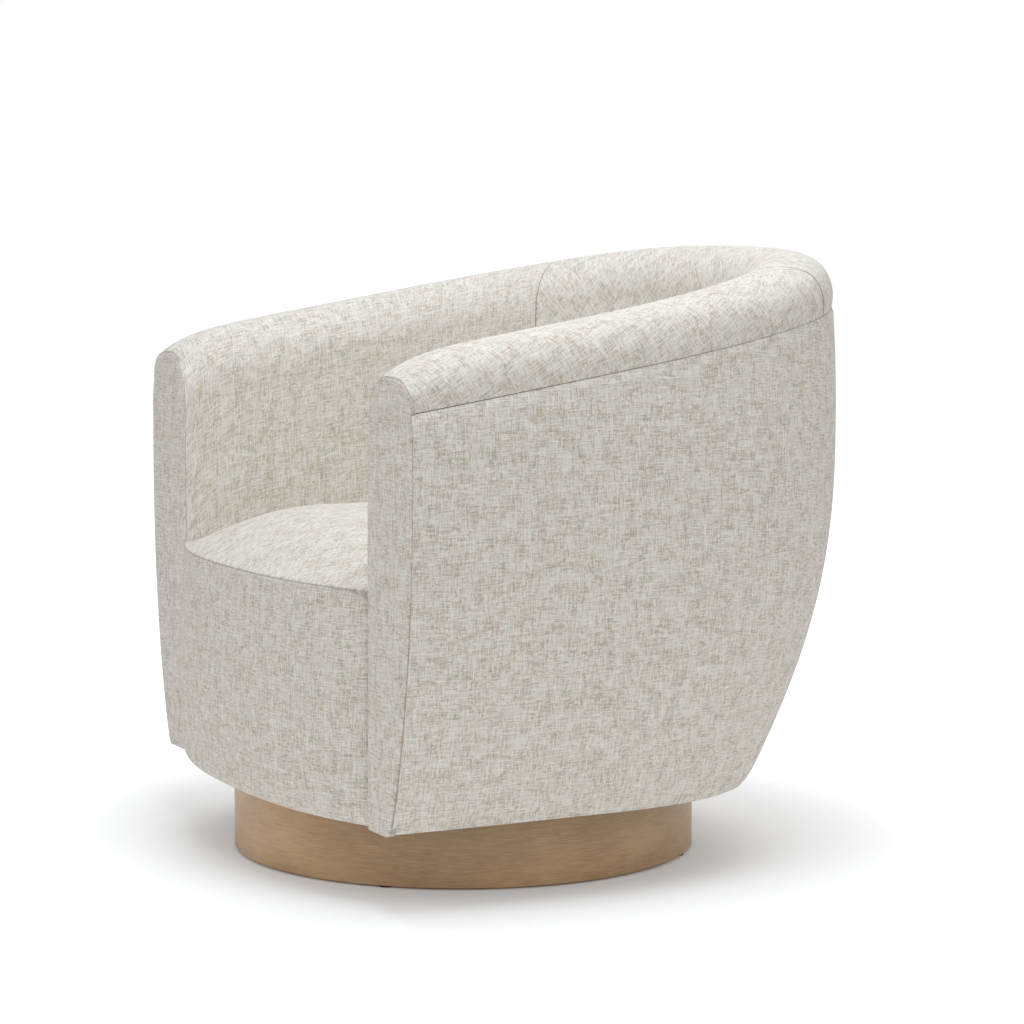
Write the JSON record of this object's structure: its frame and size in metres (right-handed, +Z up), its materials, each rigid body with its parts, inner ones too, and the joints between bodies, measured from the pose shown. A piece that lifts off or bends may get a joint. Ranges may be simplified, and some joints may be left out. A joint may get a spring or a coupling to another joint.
{
  "type": "swivel barrel chair",
  "caption": "Upholstered barrel chair with a rolled, sloping arm and back line and a tight crowned seat, turning on a round wooden drum plinth.",
  "frame": {"origin": "on the floor, under the middle of the chair's length and width", "axes": "+Z up, -Y to the front where the sitter faces, +X to the sitter's left"},
  "size_m": [0.81, 0.7484, 0.7253],
  "materials": {
    "upholstery_fabric": "ivory heathered linen weave with tan flecks, matte",
    "frame_timber": "raw sawn hardwood and plywood",
    "plinth_wood": "taupe brown stain, satin, fine horizontal grain",
    "swivel_steel": "zinc plated steel",
    "glide_plastic": "dark nylon",
    "dust_cloth": "black nonwoven dust cloth"
  },
  "bodies": {
    "plinth": {"plinth_wall": "plinth_wood", "plinth_top_board": "frame_timber", "plinth_block_front_left": "frame_timber", "plinth_block_back_left": "frame_timber", "plinth_block_back_right": "frame_timber", "plinth_block_front_right": "frame_timber", "floor_glide_front_left": "glide_plastic", "floor_glide_back_left": "glide_plastic", "floor_glide_back_right": "glide_plastic", "floor_glide_front_right": "glide_plastic", "swivel_lower_plate": "swivel_steel", "lower_race_ring": "swivel_steel", "plate_screw_front_left": "swivel_steel", "plate_screw_back_left": "swivel_steel", "plate_screw_back_right": "swivel_steel", "plate_screw_front_right": "swivel_steel"},
    "bearing_cage": {"ball_cage": "swivel_steel"},
    "chair_shell": {"upper_race_ring": "swivel_steel", "swivel_upper_plate": "swivel_steel", "swivel_bolt_front_left": "swivel_steel", "swivel_bolt_back_left": "swivel_steel", "swivel_bolt_back_right": "swivel_steel", "swivel_bolt_front_right": "swivel_steel", "base_rail_front": "frame_timber", "base_rail_left": "frame_timber", "base_rail_back": "frame_timber", "base_rail_right": "frame_timber", "seat_rail_front": "frame_timber", "seat_rail_left": "frame_timber", "seat_rail_back": "frame_timber", "seat_rail_right": "frame_timber", "top_rail_left": "frame_timber", "top_rail_back": "frame_timber", "top_rail_right": "frame_timber", "arm_post_left": "frame_timber", "arm_post_right": "frame_timber", "wing_post_left": "frame_timber", "wing_post_right": "frame_timber", "back_post_left": "frame_timber", "back_post_right": "frame_timber", "mounting_rail_front": "frame_timber", "mounting_rail_rear": "frame_timber", "seat_spring_1": "swivel_steel", "seat_spring_2": "swivel_steel", "seat_spring_3": "swivel_steel", "seat_spring_4": "swivel_steel", "inside_arm_pad_left": "upholstery_fabric", "inside_arm_pad_right": "upholstery_fabric", "inside_back_pad": "upholstery_fabric", "outside_arm_panel_left": "upholstery_fabric", "outside_arm_panel_right": "upholstery_fabric", "outside_back_panel": "upholstery_fabric", "arm_front_panel_left": "upholstery_fabric", "arm_front_panel_right": "upholstery_fabric", "seat_cushion": "upholstery_fabric", "front_border": "upholstery_fabric", "dust_cover": "dust_cloth"}
  },
  "joints": [
    {"name": "swivel", "type": "hinge", "parent": "plinth", "child": "chair_shell", "pos_m": [0, -0.06135, 0.07675], "axis": [0, 0, 1], "continuous": true},
    {"name": "ball_cage_spin", "type": "hinge", "parent": "plinth", "child": "bearing_cage", "pos_m": [0, -0.06135, 0.07675], "axis": [0, 0, 1], "continuous": true}
  ],
  "couplings": [
    {"joint": "ball_cage_spin", "follows": "swivel", "ratio": 0.5}
  ]
}
